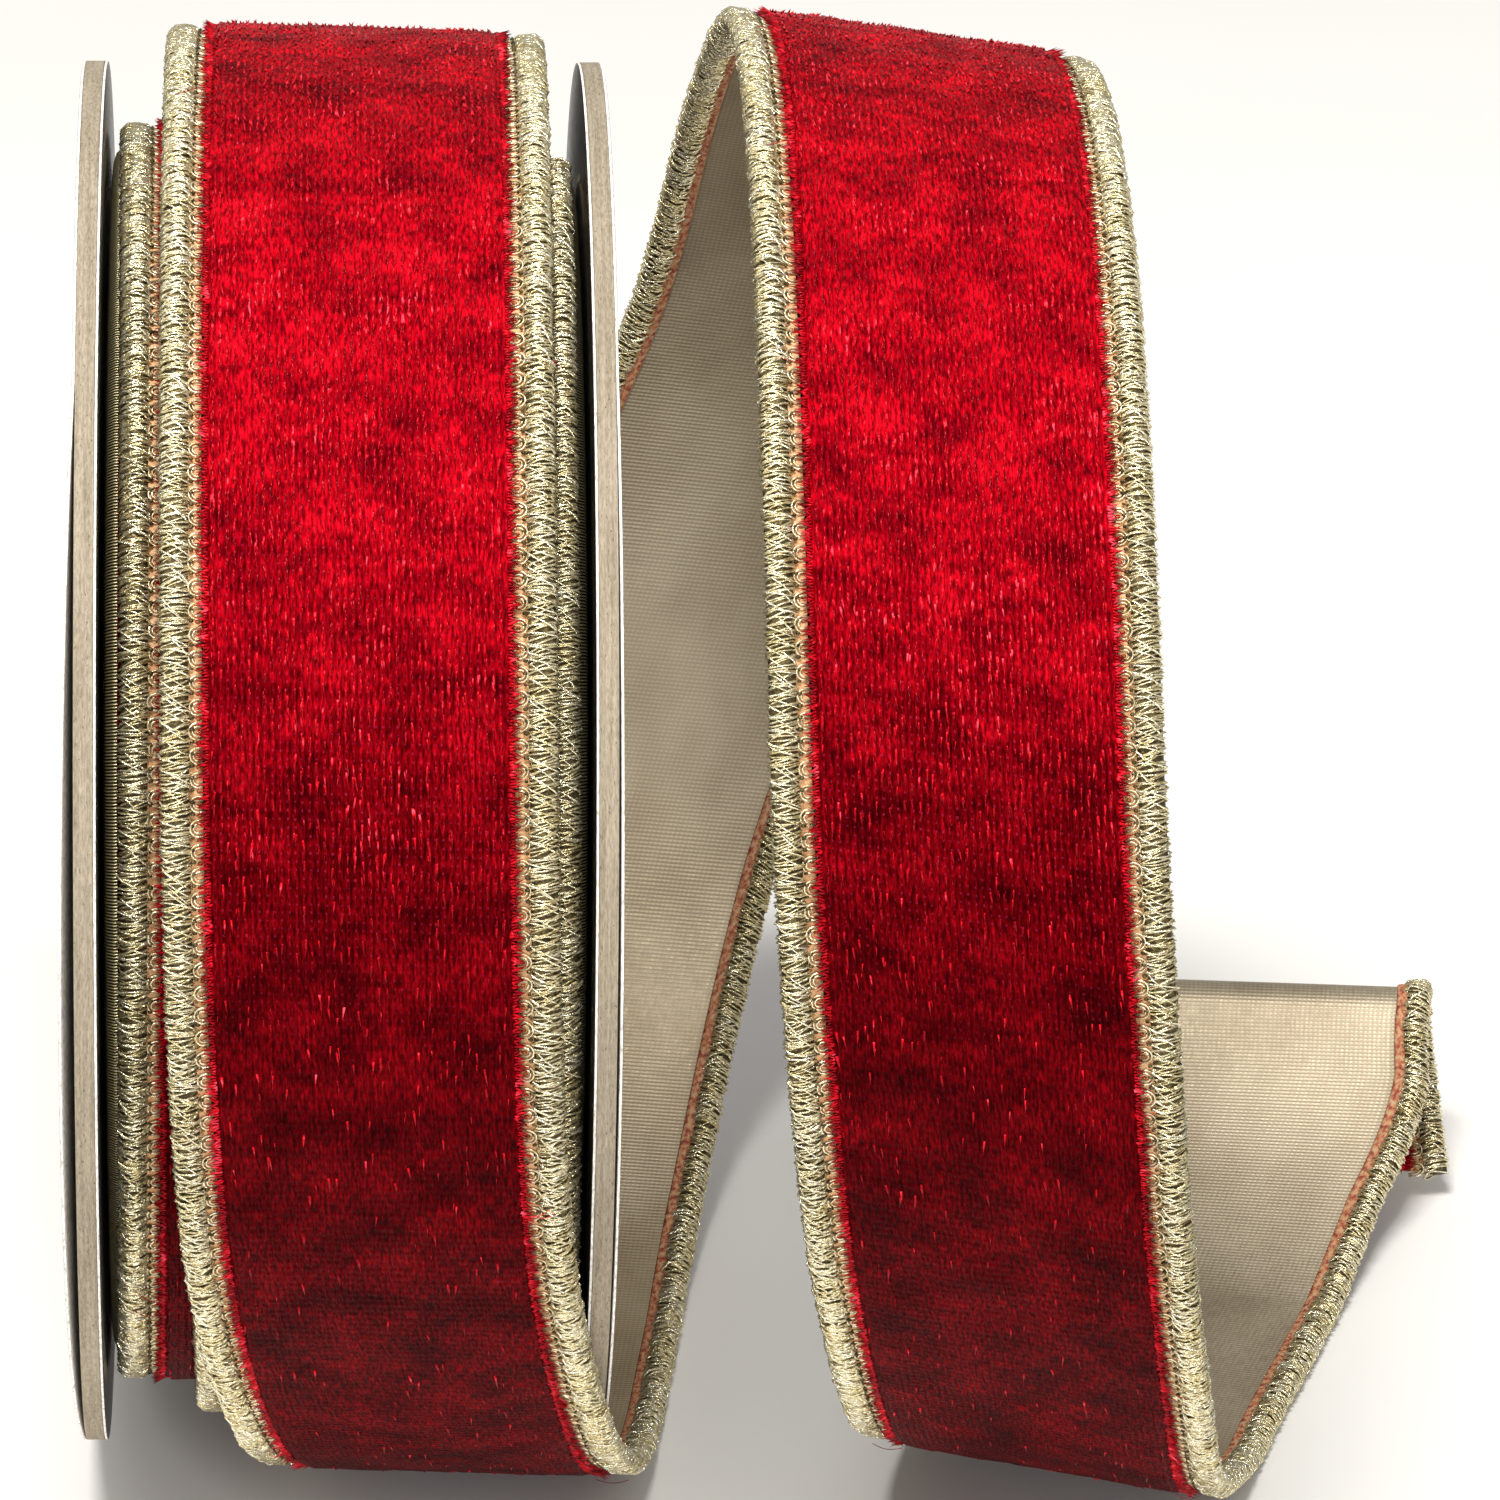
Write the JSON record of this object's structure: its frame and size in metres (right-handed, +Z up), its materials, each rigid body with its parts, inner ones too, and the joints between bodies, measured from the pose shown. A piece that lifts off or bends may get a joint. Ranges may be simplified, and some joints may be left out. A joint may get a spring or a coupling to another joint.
{
  "type": "ribbon spool",
  "caption": "Spool of wire-edged velvet ribbon with metallic corded edges and metallic backing, its last turns hanging loose beside it.",
  "frame": {"origin": "centre of the arbor hole, midway between the flanges", "axes": "+X along the spool's axle towards the loose turn beside it, +Z up, +Y to the back; the pulled turns start at the front (-Y) going down"},
  "size_m": [0.1481, 0.15, 0.15],
  "materials": {
    "velvet": "crushed pile velvet",
    "metallic_weave": "woven metallic yarn, soft sheen",
    "metallic_cord": "metallic thread wrapped over wire",
    "cotton_tape": "flat woven tape, matt",
    "stitch_thread": "twisted metallic and cotton thread",
    "wire": "drawn wire",
    "chipboard": "uncoated, fibrous cut edge",
    "black_paper": "satin printed paper",
    "glue": "dried glue",
    "paper_tape": "crepe paper tape"
  },
  "bodies": {
    "loose_ribbon": {"loose_velvet": "velvet", "loose_backing": "metallic_weave", "loose_left_edge": "metallic_cord", "loose_right_edge": "metallic_cord", "loose_left_wire": "wire", "loose_right_wire": "wire", "loose_left_tape": "cotton_tape", "loose_right_tape": "cotton_tape", "loose_left_stitching": "stitch_thread", "loose_right_stitching": "stitch_thread"},
    "spool": {"left_flange_board": "chipboard", "right_flange_board": "chipboard", "left_flange_inner_paper": "black_paper", "left_flange_outer_paper": "black_paper", "right_flange_inner_paper": "black_paper", "right_flange_outer_paper": "black_paper", "core_tube": "chipboard", "left_glue_bead": "glue", "right_glue_bead": "glue", "start_tape": "paper_tape", "wound_turns": "velvet", "outer_turn_velvet": "velvet", "outer_turn_backing": "metallic_weave", "outer_turn_left_edge": "metallic_cord", "outer_turn_right_edge": "metallic_cord", "outer_turn_left_tape": "cotton_tape", "outer_turn_right_tape": "cotton_tape"}
  },
  "joints": [
    {"name": "spool_turn", "type": "hinge", "parent": "loose_ribbon", "child": "spool", "pos_m": [0, 0, 0], "axis": [1, 0, 0], "continuous": true}
  ]
}
